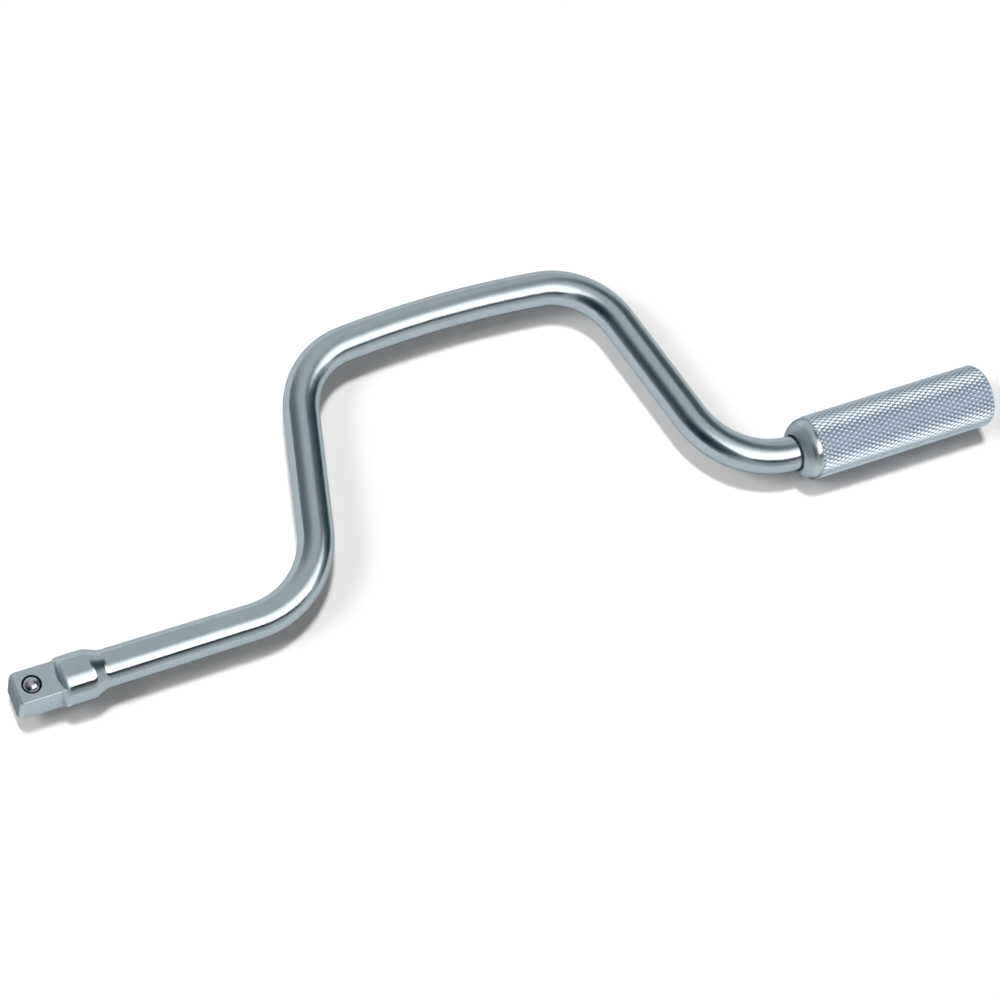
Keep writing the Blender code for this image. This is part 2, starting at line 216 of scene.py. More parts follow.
# %% A function for metals
NOISE_LOW = 0.3
NOISE_HIGH = 0.7
PATCH_SIZE = 9 * MM
CLOUD_SIZE = 4 * MM
EDGE_TINT = (0.60, 0.62, 0.64)


def object_place(tree):
    """The place on the handle, in metres."""
    return tree.nodes.new('ShaderNodeTexCoord').outputs["Object"]


def per(size):
    """A noise scale that gives patches of about this size."""
    return 1 / size


def noise(tree, place, size, detail=2.0):
    made = add(tree, 'ShaderNodeTexNoise', {"Vector": place, "Scale": per(size), "Detail": detail})
    return made.outputs["Fac"]


def spread(tree, value, low, high):
    """Spread the middle of a noise over a range."""
    feeds = {"Value": value, "From Min": NOISE_LOW, "From Max": NOISE_HIGH, "To Min": low, "To Max": high}
    return add(tree, 'ShaderNodeMapRange', feeds).outputs["Result"]


def blend_colours(tree, share, first, second):
    mix = add(tree, 'ShaderNodeMix', data_type='RGBA')
    feed(tree, mix.inputs["Factor"], share)
    colours = [socket for socket in mix.inputs if socket.type == 'RGBA']
    for socket, colour in zip(colours, (first, second)):
        feed(tree, socket, colour if isinstance(colour, bpy.types.NodeSocket) else (*colour, 1))
    return next(socket for socket in mix.outputs if socket.type == 'RGBA')


def dents(tree, height, depth, name):
    """A bump of this depth on a node of this name, so that another one can be laid under it."""
    feeds = {"Height": height, "Strength": 1.0, "Distance": depth}
    return add(tree, 'ShaderNodeBump', feeds, name=name).outputs["Normal"]


def metal(name, light, dark, smooth, dull, grain, grain_depth, wave, wave_depth, edge_tint=EDGE_TINT):
    """A plated or bare metal: two close colours, a range of roughness and two sizes of dents."""
    material = bpy.data.materials.new(name)
    material.use_nodes = True
    tree = material.node_tree
    skin = tree.nodes["Principled BSDF"]
    skin.inputs["Metallic"].default_value = 1.0
    skin.inputs["Specular Tint"].default_value = (*edge_tint, 1)
    place = object_place(tree)
    patches = noise(tree, place, PATCH_SIZE)
    feed(tree, skin.inputs["Base Color"], blend_colours(tree, spread(tree, patches, 0, 1), dark, light))
    clouds = noise(tree, place, CLOUD_SIZE, detail=3.0)
    feed(tree, skin.inputs["Roughness"], spread(tree, clouds, smooth, dull))
    waves = dents(tree, noise(tree, place, wave, detail=1.0), wave_depth, "wave")
    grains = dents(tree, noise(tree, place, grain), grain_depth, "grain")
    feed(tree, tree.nodes["grain"].inputs["Normal"], waves)
    feed(tree, skin.inputs["Normal"], grains)
    return material


# %% [markdown]
# The forged end of the bar is buffed before plating and the bow is only tumbled, so the grain and the
# dullness grow along the bar. A smooth step over the Object X coordinate does that in one material.

# %% The bar's plating
PLATE_LIGHT = (0.37, 0.445, 0.48)
PLATE_DARK = (0.345, 0.415, 0.45)
BUFFED_TO = 78 * MM
SATIN_FROM = 112 * MM
BUFFED_GRAIN = 0.25
BUFFED_DULL = 0.6


def along_bar(tree):
    """The distance along the X axis, which starts at the tip."""
    return add(tree, 'ShaderNodeSeparateXYZ', {"Vector": object_place(tree)}).outputs["X"]


def scale_roughness(material, share):
    """Multiply what feeds the roughness, and feed it back."""
    tree = material.node_tree
    dull = tree.nodes["Principled BSDF"].inputs["Roughness"]
    feed(tree, dull, calc(tree, 'MULTIPLY', dull.links[0].from_socket, share))


def satin_on_the_bow(material):
    """Hold back the grain and the roughness on the buffed end of the bar."""
    tree = material.node_tree
    distance = along_bar(tree)
    grain = eased(tree, distance, BUFFED_TO, SATIN_FROM, BUFFED_GRAIN, 1.0)
    feed(tree, tree.nodes["grain"].inputs["Strength"], grain)
    scale_roughness(material, eased(tree, distance, BUFFED_TO, SATIN_FROM, BUFFED_DULL, 1.0))


bar_plate = metal("satin_chrome_plate", PLATE_LIGHT, PLATE_DARK, smooth=0.13, dull=0.20,
                  grain=0.6 * MM, grain_depth=0.016 * MM, wave=5 * MM, wave_depth=0.03 * MM)
satin_on_the_bow(bar_plate)
print("plated bar:", bar_plate.name, len(bar_plate.node_tree.nodes), "nodes")

# %% [markdown]
# ## Profiles and turned pieces
# Most pieces of the handle come off a lathe, so they are drawn as half a section and turned round
# the X axis. A corner is given with its rounding, and a short curve takes its place.

# %% Round a profile's corners and turn it
ROUND_STEPS = 8
TURN_STEPS = 96
EDGE_ANGLE = radians(32)


def rounded(corners, steps=ROUND_STEPS, closed=False):
    """Points of a profile given as corners of (along, radius, rounding)."""
    points = []
    for i, (along, radius, rounding) in enumerate(corners):
        here = Vector((along, radius))
        inner = closed or 0 < i < len(corners) - 1
        if not rounding or not inner:
            points.append(here)
            continue
        back = Vector(corners[i - 1][:2]) - here
        ahead = Vector(corners[(i + 1) % len(corners)][:2]) - here
        reach = min(rounding / tan(back.angle(ahead) / 2), back.length / 2, ahead.length / 2)
        first = here + back.normalized() * reach
        last = here + ahead.normalized() * reach
        for step in range(steps + 1):
            t = step / steps
            points.append(first * (1 - t) ** 2 + here * (2 * t * (1 - t)) + last * t ** 2)
    return points


def new_piece(name, cage):
    """An object at the origin from a bmesh."""
    mesh = bpy.data.meshes.new(name)
    cage.to_mesh(mesh)
    cage.free()
    item = bpy.data.objects.new(name, mesh)
    bpy.context.scene.collection.objects.link(item)
    return item


def turned(name, profile, steps=TURN_STEPS, closed=True):
    """Turn (along, radius) points round X, with the first copy straight up."""
    cage = bmesh.new()
    points = [cage.verts.new((along, 0, radius)) for along, radius in profile]
    ends = points[1:] + points[:1] if closed else points[1:]
    lines = [cage.edges.new(pair) for pair in zip(points, ends)]
    bmesh.ops.spin(cage, geom=points + lines, cent=(0, 0, 0), axis=(1, 0, 0), dvec=(0, 0, 0),
                   angle=2 * pi, steps=steps)
    bmesh.ops.remove_doubles(cage, verts=cage.verts, dist=MERGE)
    bmesh.ops.recalc_face_normals(cage, faces=cage.faces)
    return new_piece(name, cage)


def true_edges(item):
    """Smooth sides, sharp edges, and normals that keep large flats flat."""
    item.data.shade_smooth()
    item.data.set_sharp_from_angle(angle=EDGE_ANGLE)
    weigh = item.modifiers.new("Flat flats", 'WEIGHTED_NORMAL')
    weigh.keep_sharp = True
    return keep_mesh(item)


# %% [markdown]
# Each finished piece takes the place of one of the frame's solids and rides on that solid's body, so a
# joint that moves the solid also moves the piece. Comparing the two boxes shows at once whether a piece
# has drifted.

# %% Hand a finished piece to the frame
LOW_CORNER = 0
HIGH_CORNER = 6


def hand_over(piece, node, material=None):
    """Let the piece stand for its CAD node, on that node's body and with its finish."""
    if material:
        piece.data.materials.clear()
        piece.data.materials.append(material)
    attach(piece, frame["nodes"][node]["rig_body"])
    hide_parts(node)
    low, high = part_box(node)
    low_gap = Vector(piece.bound_box[LOW_CORNER]) - low
    high_gap = Vector(piece.bound_box[HIGH_CORNER]) - high
    off = max(abs(gap) for gap in (*low_gap, *high_gap))
    print(piece.name, len(piece.data.polygons), "faces, box within", round(off / MM, 2), "mm of", node)


# %% [markdown]
# ## The cranked bar
# The bar is a round rod whose centreline is drawn as straights and arcs, like a bending plan, and
# whose thickness changes at the head, the neck and the journal inside the grip. A sweep along a
# path is a job for Geometry Nodes: each point of the path carries its own radius, and Curve to Mesh
# scales a circle by it. Changing a bend then means changing one number.

# %% The bar's sizes
SQUARE = 12.7 * MM
SQUARE_LENGTH = 15.6 * MM
HEAD_CONE = radians(60)
HEAD_R = 9.052 * MM
HEAD_LENGTH = 12.3 * MM
HEAD_EDGE = 2.4 * MM
NECK_LENGTH = 5.0 * MM
NECK_ROUND = 4.0 * MM
CONE_SINK = 0.6 * MM
ROD_R = 6.75 * MM
SHANK_R = 7.025 * MM
SHANK_LENGTH = 89.7 * MM
FOOT_BEND_R = 34.5 * MM
CROWN_BEND_R = 29.0 * MM
LEG_ANGLE = radians(75.4)
LEG_LENGTH = 45.3 * MM
TOP_LENGTH = 80.6 * MM
TOP_ARCH = radians(11)
BEND_STEPS = 40
ARCH_STEPS = 20
BAR_SIDES = 96
print("bar", round(2 * ROD_R / MM, 1), "mm thick, head", round(2 * HEAD_R / MM, 1), "mm")


# %% The bar's centreline
def drive_end():
    """Stations of (place, radius) from inside the square to the end of the shank."""
    slope = tan(HEAD_CONE)
    neck = SQUARE_LENGTH + HEAD_LENGTH
    corners = [
        (SQUARE_LENGTH - CONE_SINK / slope, SQUARE / 2 - CONE_SINK, 0),
        (SQUARE_LENGTH + (HEAD_R - SQUARE / 2) / slope, HEAD_R, HEAD_EDGE),
        (neck, HEAD_R, NECK_ROUND),
        (neck + NECK_LENGTH, SHANK_R, NECK_ROUND),
        (SHANK_LENGTH, ROD_R, 0),
    ]
    return [(Vector((along, 0, 0)), radius) for along, radius in rounded(corners)]


def bow():
    """Stations of (place, radius) along the bow, walked stretch by stretch in the XY plane."""
    crown_turn = LEG_ANGLE - TOP_ARCH / 2
    foot = (FOOT_BEND_R * LEG_ANGLE, LEG_ANGLE, BEND_STEPS)
    leg = (LEG_LENGTH, 0, 1)
    crown = (CROWN_BEND_R * crown_turn, -crown_turn, BEND_STEPS)
    top = (TOP_LENGTH, -TOP_ARCH, ARCH_STEPS)
    here = Vector((SHANK_LENGTH, 0, 0))
    heading = 0
    stations = []
    for length, turning, steps in (foot, leg, crown, top, crown, leg, foot):
        for _ in range(steps):
            middle = heading + turning / steps / 2
            here = here + length / steps * Vector((cos(middle), sin(middle), 0))
            heading += turning / steps
            stations.append((here, ROD_R))
    return stations


# %% The journal inside the grip
JOURNAL_R = 5.5 * MM
GROOVE_R = 4.5 * MM
STEP_RUN = 0.15 * MM
GROOVE_GAP = 0.3 * MM
groove_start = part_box("retaining_ring")[0].x - GROOVE_GAP
groove_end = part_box("retaining_ring")[1].x + GROOVE_GAP
rear_bush_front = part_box("rear_bush")[0].x


def journal():
    """Stations from the shoulder that the rear bush runs against to the bar's far end."""
    shoulder = rear_bush_front - GROOVE_GAP - STEP_RUN
    plan = [
        (shoulder, ROD_R),
        (shoulder + STEP_RUN, JOURNAL_R),
        (groove_start - STEP_RUN, JOURNAL_R),
        (groove_start, GROOVE_R),
        (groove_end, GROOVE_R),
        (groove_end + STEP_RUN, JOURNAL_R),
        (bar_end - (JOURNAL_R - GROOVE_R), JOURNAL_R),
        (bar_end, GROOVE_R),
    ]
    return [(Vector((along, 0, 0)), radius) for along, radius in plan]


# %% A tree that sweeps a round section along a path
RADIUS_NAME = "section_radius"


def sweep_tree():
    inputs = {"Sides": 'NodeSocketInt', "Finish": 'NodeSocketMaterial'}
    tree, given, result = geometry_tree("round section along a path", inputs)
    line = add(tree, 'GeometryNodeMeshToCurve', {"Mesh": given["Geometry"]})
    radius = add(tree, 'GeometryNodeInputNamedAttribute', {"Name": RADIUS_NAME}, data_type='FLOAT')
    ring = add(tree, 'GeometryNodeCurvePrimitiveCircle', {"Resolution": given["Sides"], "Radius": 1.0})
    sweep = add(tree, 'GeometryNodeCurveToMesh', {
        "Curve": line.outputs["Curve"],
        "Profile Curve": ring.outputs["Curve"],
        "Scale": radius.outputs["Attribute"],
        "Fill Caps": True,
    })
    real = add(tree, 'GeometryNodeRealizeInstances', {"Geometry": sweep.outputs["Mesh"]})
    finish = add(tree, 'GeometryNodeSetMaterial', {
        "Geometry": real.outputs["Geometry"],
        "Material": given["Finish"],
    })
    feed(tree, result, finish.outputs["Geometry"])
    return tree


def swept(name, stations, sides, material):
    """Run the sweep on a path of (place, radius) stations."""
    mesh = bpy.data.meshes.new(name)
    pairs = [(i, i + 1) for i in range(len(stations) - 1)]
    mesh.from_pydata([place for place, _ in stations], pairs, [])
    radius = mesh.attributes.new(RADIUS_NAME, 'FLOAT', 'POINT')
    radius.data.foreach_set("value", [size for _, size in stations])
    item = bpy.data.objects.new(name, mesh)
    bpy.context.scene.collection.objects.link(item)
    run_tree(item, sweeping, {"Sides": sides, "Finish": material})
    cage = bmesh.new()
    cage.from_mesh(item.data)
    bmesh.ops.recalc_face_normals(cage, faces=cage.faces)
    cage.to_mesh(item.data)
    cage.free()
    return item


sweeping = sweep_tree()
crank = swept("cranked_bar", drive_end() + bow() + journal(), BAR_SIDES, bar_plate)
print("bar swept with", len(crank.data.polygons), "faces, ends at bow x", round(bow()[-1][0].x / MM, 2))

# %% [markdown]
# ## The drive square and the ball's hole
# The square is milled on the forged head, so it is a separate block joined to the bar by a Boolean,
# and the crease between the cone and the flats comes out where it should. The ball's blind hole and
# the shallow ring of the staking punch are cut the same way. Both cutters are turned about the X axis
# and then stood on the flat. A Boolean leaves some points all but on top of each other, so they are
# merged afterwards.

# %% Join the square and cut the hole
SQUARE_EDGE = 0.55 * MM
TIP_EDGE = 2.0 * MM
EDGE_SEGMENTS = 6
LIP_DEPTH = 0.2 * MM
LIP_GAP = 0.2 * MM
HOLE_GAP = 0.3 * MM
HOLE_FLOOR = 2.3 * MM
STAKE_STEP = 1.0 * MM
STAKE_WIDTH = 0.5 * MM
STAKE_DEPTH = 0.06 * MM
SLIVER = 0.01 * MM

ball_low, ball_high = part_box("detent_ball")
ball_centre = (ball_low + ball_high) / 2
ball_r = (ball_high.x - ball_low.x) / 2
ball_height = ball_centre.dot(flat_normal)
hole_r = ball_r + HOLE_GAP
lip_height = SQUARE / 2 - LIP_DEPTH
mouth_r = sqrt((ball_r + LIP_GAP) ** 2 - (lip_height - ball_height) ** 2)
stand_up = Vector((1, 0, 0)).rotation_difference(flat_normal).to_matrix().to_4x4()
on_flat = Matrix.Translation((ball_centre.x, 0, 0)) @ stand_up


def drive_square():
    """The square with rounded edges, most at its tip, long enough to end inside the head."""
    length = SQUARE_LENGTH + HEAD_LENGTH / 2
    cage = bmesh.new()
    bmesh.ops.create_cube(cage, size=1)
    bmesh.ops.scale(cage, vec=(length, SQUARE, SQUARE), verts=cage.verts)
    bmesh.ops.translate(cage, vec=(length / 2, 0, 0), verts=cage.verts)
    share = cage.edges.layers.float.new("bevel_weight_edge")
    for edge in cage.edges:
        at_tip = all(vert.co.x < length / 2 for vert in edge.verts)
        edge[share] = 1.0 if at_tip else SQUARE_EDGE / TIP_EDGE
    roll = Vector((0, 0, 1)).rotation_difference(flat_normal).to_matrix()
    bmesh.ops.rotate(cage, cent=(0, 0, 0), matrix=roll, verts=cage.verts)
    square = new_piece("drive_square", cage)
    edges = square.modifiers.new("Edges", 'BEVEL')
    edges.limit_method = 'WEIGHT'
    edges.width = TIP_EDGE
    edges.segments = EDGE_SEGMENTS
    return keep_mesh(square)


def detent_hole():
    """The blind hole, with its narrow staked lip."""
    outside = ball_height + ball_r
    lip_end = lip_height - (hole_r - mouth_r)
    bottom = HOLE_FLOOR - SQUARE / 2
    profile = [
        (outside, 0),
        (outside, mouth_r),
        (lip_height, mouth_r),
        (lip_end, hole_r),
        (bottom, hole_r),
        (bottom, 0),
    ]
    return turned("detent_hole", profile, closed=False)


def stake_ring():
    """The shallow ring that the punch leaves."""
    ring_r = mouth_r + STAKE_STEP
    half = STAKE_WIDTH / 2
    flat = SQUARE / 2
    profile = [
        (flat + half, ring_r),
        (flat, ring_r + half),
        (flat - STAKE_DEPTH, ring_r),
        (flat, ring_r - half),
    ]
    return turned("stake_ring", profile)


def join(item, tool, operation):
    cut = item.modifiers.new(tool.name, 'BOOLEAN')
    cut.operation = operation
    cut.object = tool
    keep_mesh(item)
    bpy.data.objects.remove(tool)


def clear_slivers(item):
    """Merge the points that a Boolean leaves too close together, with the needle faces between them."""
    cage = bmesh.new()
    cage.from_mesh(item.data)
    bmesh.ops.remove_doubles(cage, verts=cage.verts, dist=SLIVER)
    bmesh.ops.dissolve_degenerate(cage, dist=SLIVER, edges=cage.edges)
    cage.to_mesh(item.data)
    cage.free()


hole = detent_hole()
hole.data.transform(on_flat)
stake = stake_ring()
stake.data.transform(on_flat)
join(crank, drive_square(), 'UNION')
join(crank, hole, 'DIFFERENCE')
join(crank, stake, 'DIFFERENCE')
clear_slivers(crank)
true_edges(crank)
print("square joined and hole cut:", len(crank.data.polygons), "faces")

# %% [markdown]
# The square is milled and never buffed, so it is duller than the head, and the cone behind it is duller
# still. The square's colour is also scaled up a little, and the cone's more, as painted light. The tip
# knocks against things, so its rounded edge is rougher, and that edge is also made paler. Its end face is
# darkened as painted shade. All of it follows the distance from the tip, so smooth steps along X are
# enough.

# %% Dull the square, paint light on it and paint shade on its tip's end
SQUARE_DULL = 2.4
CONE_DULL = 5.0
CONE_BLEND = 0.5 * MM
HEAD_FROM = 17.2 * MM
HEAD_BLEND = 2.0 * MM
TIP_DULL = 2.2
TIP_PALE = 1.2
# Painted light: the square's and the cone's colour is scaled up by these two
SQUARE_PAINTED_LIGHT = 1.12
CONE_PAINTED_LIGHT = 1.2
# Painted shade: the end face's colour is scaled down by this, over the next two distances
END_PAINTED_SHADE = 0.40
END_TO = 0.1 * MM
END_BLEND = 0.7 * MM


def scale_colour(material, share):
    """Multiply what feeds the colour, and feed it back."""
    tree = material.node_tree
    paint = tree.nodes["Principled BSDF"].inputs["Base Color"]
    feed(tree, paint, vector(tree, 'MULTIPLY', paint.links[0].from_socket, share))


def milled_end_painted_light_and_shade(material):
    """Scale the bar's roughness and colour by the distance from the tip: painted light on the square and
    the cone, painted shade on the end face, and a paler tip edge.
    """
    tree = material.node_tree
    distance = along_bar(tree)
    end = (END_TO, END_TO + END_BLEND)
    tip = (TIP_EDGE / 2, TIP_EDGE)
    cone = (SQUARE_LENGTH - CONE_BLEND, SQUARE_LENGTH)
    head = (HEAD_FROM, HEAD_FROM + HEAD_BLEND)
    scale_roughness(material, eased(tree, distance, *tip, TIP_DULL, 1.0))
    scale_roughness(material, eased(tree, distance, *cone, SQUARE_DULL, CONE_DULL))
    scale_roughness(material, eased(tree, distance, *head, 1.0, 1 / CONE_DULL))
    # Painted shade darkens the end face
    scale_colour(material, eased(tree, distance, *end, END_PAINTED_SHADE, 1.0))
    scale_colour(material, eased(tree, distance, *tip, TIP_PALE, 1.0))
    # Painted light pales the square and, more, the cone; the next step takes it off again on the head
    scale_colour(material, eased(tree, distance, *cone, SQUARE_PAINTED_LIGHT, CONE_PAINTED_LIGHT))
    scale_colour(material, eased(tree, distance, *head, 1.0, 1 / CONE_PAINTED_LIGHT))


milled_end_painted_light_and_shade(bar_plate)
print("square milled to", round(SQUARE_LENGTH / MM, 1), "mm from the tip")

# %% [markdown]
# A dark ring of painted shade lies round the ball, over the hole's lip and a little of the flat. It is a
# mask in the bar's own material: the distance from the ball's axis, on the ball's side of the bar only.

# %% Paint shade on the flat round the ball
# Painted shade: a dark colour laid round the ball, where its gap lies in shade
GAP_SHADE_COLOUR = (0.012, 0.013, 0.014)
GAP_SHADE_TO = 3.4 * MM
GAP_SHADE_FADE = 0.35 * MM


def paint_over(material, share, colour):
    """Blend another colour over what feeds the colour."""
    tree = material.node_tree
    paint = tree.nodes["Principled BSDF"].inputs["Base Color"]
    feed(tree, paint, blend_colours(tree, share, paint.links[0].from_socket, colour))


def paint_gap_shade(material):
    """Paint shade on the ball's own flat near the ball's axis."""
    tree = material.node_tree
    offset = vector(tree, 'SUBTRACT', object_place(tree), ball_centre)
    away = vector(tree, 'LENGTH', vector(tree, 'CROSS_PRODUCT', offset, flat_normal))
    ball_side = calc(tree, 'GREATER_THAN', vector(tree, 'DOT_PRODUCT', offset, flat_normal), 0.0)
    ring = eased(tree, away, GAP_SHADE_TO, GAP_SHADE_TO + GAP_SHADE_FADE, 1.0, 0.0)
    paint_over(material, calc(tree, 'MULTIPLY', ring, ball_side), GAP_SHADE_COLOUR)


paint_gap_shade(bar_plate)
hand_over(crank, "crank_rod", bar_plate)

# %% [markdown]
# ## The detent ball
# A hardened ball sits in the hole and snaps into the socket. The frame's ball is faceted, and a
# mirror finish shows every facet, so it is made again as a fine sphere.

# %% Make the ball
BALL_RINGS = 48
ball_polish = metal("polished_ball_steel", light=(0.40, 0.43, 0.46), dark=(0.33, 0.36, 0.39),
                    smooth=0.04, dull=0.08, grain=0.5 * MM, grain_depth=0.001 * MM,
                    wave=3 * MM, wave_depth=0.004 * MM)
cage = bmesh.new()
bmesh.ops.create_uvsphere(cage, u_segments=2 * BALL_RINGS, v_segments=BALL_RINGS, radius=ball_r)
bmesh.ops.translate(cage, vec=ball_centre, verts=cage.verts)
ball = new_piece("polished_ball", cage)
ball.data.shade_smooth()
hand_over(ball, "detent_ball", ball_polish)

# %% [markdown]
# ## The knurled grip
# Knurling rolls two families of slanting grooves into the sleeve and leaves rows of small pyramids.
# Geometry Nodes lay the pyramids out on a flat sheet, where staggered rows are simple sums, trim the
# sheet at both ends, and only then roll it round the axis. The smooth nose, the rim and the bore are
# a turned shell with the same number of steps, so the two meet point for point.

# %% The sleeve's sizes
KNURL_TEETH = 40
KNURL_ROWS = 46
KNURL_DEPTH = 0.60 * MM
KNURL_CROWN = 1.45
KNURL_FROM = 6.3 * MM
KNURL_RAMP = 0.9 * MM
NOSE_LENGTH = 5.2 * MM
NOSE_CURVE = 1.35
NOSE_DROP = 0.45 * MM
NOSE_LIP = 2.0 * MM
NOSE_HOLE_R = 7.15 * MM
NOSE_RIM_R = 8.1 * MM
BORE_R = 9.1 * MM
RIM_WIDTH = 1.0 * MM
root_r = grip_r - KNURL_DEPTH
knurl_start = nose + KNURL_FROM
knurl_end = grip_end - RIM_WIDTH
print("knurl from", round(knurl_start / MM, 1), "to", round(knurl_end / MM, 1), "mm")

# %% [markdown]
# The sleeve has two finishes in one material. The nose is turned, so it carries fine rings round the axis.
# Its front is left dull, and its shoulder is burnished by the hand. Behind it the knurl's many small slopes
# scatter the light, and its colour is set paler than the plain bar as painted light, with painted shade in
# the roots.

# %% The sleeve's finish
# Painted light: the knurl's colours are set paler than the bar's plating, for the scatter of its slopes
KNURL_LIGHT = (0.53, 0.63, 0.715)
KNURL_DARK = (0.495, 0.59, 0.67)
KNURL_EDGE_TINT = (0.17, 0.19, 0.21)
ROOT_SHADE = 0.75
ROOT_CLEAR = 0.5
NOSE_PLATE = (0.41, 0.485, 0.51)
NOSE_DULL = 1.35
NOSE_SHINE = 0.6
BURNISH_FROM = 2.2 * MM
BURNISH_TO = 3.4 * MM


def from_axis(tree):
    """The distance from the X axis."""
    return vector(tree, 'LENGTH', vector(tree, 'MULTIPLY', object_place(tree), (0, 1, 1)))


def lathe_marks(material, size, depth):
    """Fine rings round the X axis, as a turning tool leaves them, under the metal's other dents."""
    tree = material.node_tree
    path = calc(tree, 'MULTIPLY', calc(tree, 'ADD', along_bar(tree), from_axis(tree)), per(size))
    feeds = {"W": path, "Scale": 1.0, "Detail": 2.0}
    rings = add(tree, 'ShaderNodeTexNoise', feeds, noise_dimensions='1D').outputs["Fac"]
    feed(tree, tree.nodes["wave"].inputs["Normal"], dents(tree, rings, depth, "rings"))


def paint_root_shade(material):
    """Darken the roots of the knurl by the distance from the axis, as painted shade."""
    tree = material.node_tree
    clear_r = root_r + ROOT_CLEAR * KNURL_DEPTH
    scale_colour(material, eased(tree, from_axis(tree), root_r, clear_r, ROOT_SHADE, 1.0))


def turned_nose(material):
    """Give the part in front of the knurl the lathe's rings, a dull front and a burnished shoulder."""
    tree = material.node_tree
    lathe_marks(material, size=0.45 * MM, depth=0.03 * MM)
    distance = along_bar(tree)
    on_nose = calc(tree, 'LESS_THAN', distance, knurl_start)
    feed(tree, tree.nodes["rings"].inputs["Strength"], on_nose)
    paint_over(material, on_nose, NOSE_PLATE)
    on_knurl = calc(tree, 'GREATER_THAN', distance, knurl_start)
    share = eased(tree, distance, nose + BURNISH_FROM, nose + BURNISH_TO, NOSE_DULL, NOSE_SHINE)
    scale_roughness(material, calc(tree, 'MAXIMUM', share, on_knurl))


knurl_plate = metal("knurled_chrome_plate", KNURL_LIGHT, KNURL_DARK, smooth=0.31, dull=0.39,
                    grain=0.4 * MM, grain_depth=0.004 * MM, wave=3 * MM, wave_depth=0.01 * MM,
                    edge_tint=KNURL_EDGE_TINT)
paint_root_shade(knurl_plate)
turned_nose(knurl_plate)
print("sleeve finish:", len(knurl_plate.node_tree.nodes), "nodes")

# %% [markdown]
# The knurl's tree has three parts. Points in staggered rows say where the teeth go, a small pyramid stands
# on each point, and the sheet is rolled up by reading its Y coordinate as a way round the axis.

# %% The knurl's layout
HALF = 0.5


def knurl_points(tree, given):
    """Points in staggered rows on a flat sheet, and the steps between them."""
    gaps = calc(tree, 'SUBTRACT', given["Rows"], 1.0)
    row_step = calc(tree, 'DIVIDE', calc(tree, 'SUBTRACT', given["End"], given["Start"]), gaps)
    turn_length = calc(tree, 'MULTIPLY', given["Root radius"], 2 * pi)
    tooth_step = calc(tree, 'DIVIDE', turn_length, given["Teeth round"])
    index = tree.nodes.new('GeometryNodeInputIndex').outputs["Index"]
    # Half a tooth is added so that rounding never puts a row's first tooth in the row before
    row = calc(tree, 'FLOOR', calc(tree, 'DIVIDE', calc(tree, 'ADD', index, HALF), given["Teeth round"]))
    column = calc(tree, 'SUBTRACT', index, calc(tree, 'MULTIPLY', row, given["Teeth round"]))
    stagger = calc(tree, 'MULTIPLY', calc(tree, 'MODULO', row, 2.0), HALF)
    spot = add(tree, 'ShaderNodeCombineXYZ', {
        "X": calc(tree, 'ADD', given["Start"], calc(tree, 'MULTIPLY', row, row_step)),
        "Y": calc(tree, 'MULTIPLY', calc(tree, 'ADD', column, stagger), tooth_step),
    })
    count = calc(tree, 'MULTIPLY', given["Rows"], given["Teeth round"])
    feeds = {"Count": count, "Position": spot.outputs["Vector"]}
    points = add(tree, 'GeometryNodePoints', feeds).outputs["Points"]
    return points, row_step, tooth_step


# %% One tooth of the knurl
TOOTH_SIDES = 4
TOOTH_STEPS = 4
TOOTH_TIP = 0.1


def position(tree):
    """The X, Y and Z of each point."""
    here = tree.nodes.new('GeometryNodeInputPosition').outputs["Position"]
    return add(tree, 'ShaderNodeSeparateXYZ', {"Vector": here}).outputs


def knurl_tooth(tree, given):
    """A four-sided pyramid one unit high without its floor, with its sides crowned."""
    cone = add(tree, 'GeometryNodeMeshCone', {
        "Vertices": TOOTH_SIDES,
        "Side Segments": TOOTH_STEPS,
        "Radius Top": TOOTH_TIP,
        "Radius Bottom": 1.0,
        "Depth": 1.0,
    })
    feeds = {"Geometry": cone.outputs["Mesh"], "Selection": cone.outputs["Bottom"]}
    sides = add(tree, 'GeometryNodeDeleteGeometry', feeds, domain='FACE')
    here = position(tree)
    left = calc(tree, 'MAXIMUM', calc(tree, 'SUBTRACT', 1.0, here["Z"]), 0.0)
    crowned = calc(tree, 'SUBTRACT', 1.0, calc(tree, 'POWER', left, given["Crown"]))
    shape = add(tree, 'ShaderNodeCombineXYZ', {"X": here["X"], "Y": here["Y"], "Z": crowned})
    feeds = {"Geometry": sides.outputs["Geometry"], "Position": shape.outputs["Vector"]}
    return add(tree, 'GeometryNodeSetPosition', feeds).outputs["Geometry"]


# %% Roll a sheet of teeth round the axis
def rolled_sheet(tree, given, sheet):
    """Trim the sheet at its ends, let the teeth rise behind the groove and roll it round X."""
    here = position(tree)
    feeds = {"Value": here["X"], "Min": given["Start"], "Max": given["End"]}
    trimmed = add(tree, 'ShaderNodeClamp', feeds).outputs["Result"]
    behind = calc(tree, 'SUBTRACT', trimmed, given["Start"])
    ramp = calc(tree, 'MULTIPLY', calc(tree, 'DIVIDE', behind, given["Ramp"]), given["Depth"])
    out = calc(tree, 'ADD', given["Root radius"], calc(tree, 'MINIMUM', here["Z"], ramp))
    angle = calc(tree, 'DIVIDE', here["Y"], given["Root radius"])
    rolled = add(tree, 'ShaderNodeCombineXYZ', {
        "X": trimmed,
        "Y": calc(tree, 'MULTIPLY', out, calc(tree, 'SINE', angle)),
        "Z": calc(tree, 'MULTIPLY', out, calc(tree, 'COSINE', angle)),
    })
    feeds = {"Geometry": sheet, "Position": rolled.outputs["Vector"]}
    return add(tree, 'GeometryNodeSetPosition', feeds).outputs["Geometry"]


